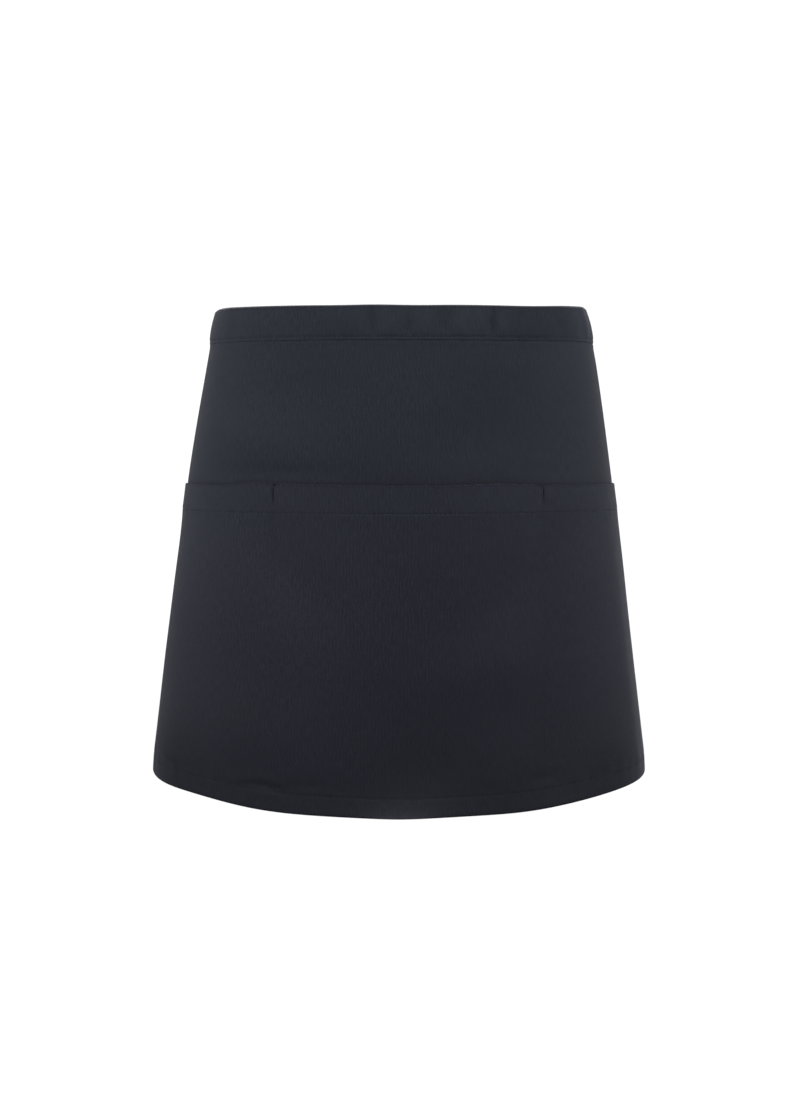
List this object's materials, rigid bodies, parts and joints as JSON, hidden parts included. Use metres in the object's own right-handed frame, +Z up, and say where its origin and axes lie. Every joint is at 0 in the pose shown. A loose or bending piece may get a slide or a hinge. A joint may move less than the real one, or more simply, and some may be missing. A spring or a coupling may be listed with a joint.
{
  "type": "waist apron",
  "caption": "Short waist apron in black twill, shown worn: a skirt panel on a folded waistband, a sewn pocket panel over its lower part, and ties knotted behind.",
  "frame": {"origin": "middle of the waist ring, at half the height of the waistband", "axes": "+Z up along the wearer's body, -Y out of the front, +X to the wearer's left"},
  "size_m": [0.359, 0.2415, 0.35],
  "materials": {
    "skirt_twill": "fine matt twill, nearly black",
    "pocket_twill": "fine matt twill, nearly black",
    "band_twill": "pressed matt twill, nearly black"
  },
  "bodies": {
    "root": {"skirt_panel": "skirt_twill", "pocket_panel": "pocket_twill", "waistband": "band_twill", "tie_right": "band_twill", "tie_left": "band_twill", "tie_knot": "band_twill"}
  },
  "joints": []
}
